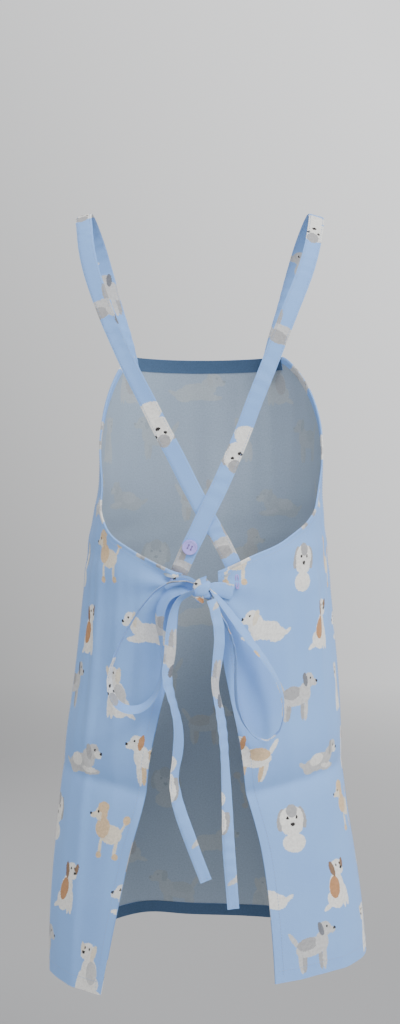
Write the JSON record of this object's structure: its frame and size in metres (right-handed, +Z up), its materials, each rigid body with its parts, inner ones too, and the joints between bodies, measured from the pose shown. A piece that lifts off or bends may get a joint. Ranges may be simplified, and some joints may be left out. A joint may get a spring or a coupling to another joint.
{
  "type": "cloth apron",
  "caption": "Cross-back cloth apron with a bib, buttoned shoulder straps crossing behind, and waist ties in a hanging bow; the skirt is open at the back.",
  "frame": {"origin": "middle of the line between the two straps' undersides where they lie on the shoulders", "axes": "+Z up along the hanging apron; the bib faces -Y and the open back with its bow faces +Y; +X is the wearer's left"},
  "size_m": [0.4012, 0.3145, 0.9291],
  "materials": {
    "print_cloth": "matte",
    "hem_cloth": "matte",
    "strap_cloth": "matte",
    "tie_cloth": "matte",
    "button_plastic": "gloss",
    "lilac_thread": "satin",
    "white_thread": "satin"
  },
  "bodies": {
    "apron": {"front_panel": "print_cloth", "front_bottom_hem": "hem_cloth", "bib_top_hem": "hem_cloth", "knot": "tie_cloth", "left_armhole_binding": "hem_cloth", "left_back_panel": "print_cloth", "left_back_edge_hem": "hem_cloth", "left_back_bottom_hem": "hem_cloth", "left_buttonhole_stitching": "lilac_thread", "left_strap": "strap_cloth", "left_strap_box_stitch": "white_thread", "left_lower_button": "button_plastic", "left_lower_button_thread": "lilac_thread", "left_tie_stub": "tie_cloth", "left_loop": "tie_cloth", "right_armhole_binding": "hem_cloth", "right_back_panel": "print_cloth", "right_back_edge_hem": "hem_cloth", "right_back_bottom_hem": "hem_cloth", "right_buttonhole_stitching": "lilac_thread", "right_strap": "strap_cloth", "right_strap_box_stitch": "white_thread", "right_lower_button": "button_plastic", "right_lower_button_thread": "lilac_thread", "right_tie_stub": "tie_cloth", "right_loop": "tie_cloth"},
    "left_corner": {"left_corner_panel": "print_cloth", "left_corner_edge_hem": "hem_cloth", "left_corner_bottom_hem": "hem_cloth"},
    "left_tail": {"left_tail": "tie_cloth"},
    "left_button": {"left_upper_button": "button_plastic", "left_upper_button_thread": "lilac_thread"},
    "right_corner": {"right_corner_panel": "print_cloth", "right_corner_edge_hem": "hem_cloth", "right_corner_bottom_hem": "hem_cloth"},
    "right_tail": {"right_tail": "tie_cloth"},
    "right_button": {"right_upper_button": "button_plastic", "right_upper_button_thread": "lilac_thread"}
  },
  "joints": [
    {"name": "left_corner_swing", "type": "hinge", "parent": "apron", "child": "left_corner", "pos_m": [0.0495, 0.13518, -0.628], "axis": [0.3561, -0.1452, -0.9231], "range_deg": [-8, 30]},
    {"name": "right_corner_swing", "type": "hinge", "parent": "apron", "child": "right_corner", "pos_m": [-0.0495, 0.13518, -0.628], "axis": [0.3561, 0.1452, 0.9231], "range_deg": [-8, 30]},
    {"name": "left_tail_swing", "type": "hinge", "parent": "apron", "child": "left_tail", "pos_m": [0.02395, 0.1483, -0.462], "axis": [0, 1, 0], "range_deg": [-15, 15]},
    {"name": "right_tail_swing", "type": "hinge", "parent": "apron", "child": "right_tail", "pos_m": [-0.02679, 0.1516, -0.474], "axis": [0, 1, 0], "range_deg": [-15, 15]},
    {"name": "left_button_turn", "type": "hinge", "parent": "apron", "child": "left_button", "pos_m": [-0.0283, 0.1149, -0.411], "axis": [0.092, -0.9958, 0.004], "range_deg": [-20, 20]},
    {"name": "right_button_turn", "type": "hinge", "parent": "apron", "child": "right_button", "pos_m": [0.0117, 0.1203, -0.4111], "axis": [0.11, 0.993, -0.044], "range_deg": [-20, 20]}
  ]
}
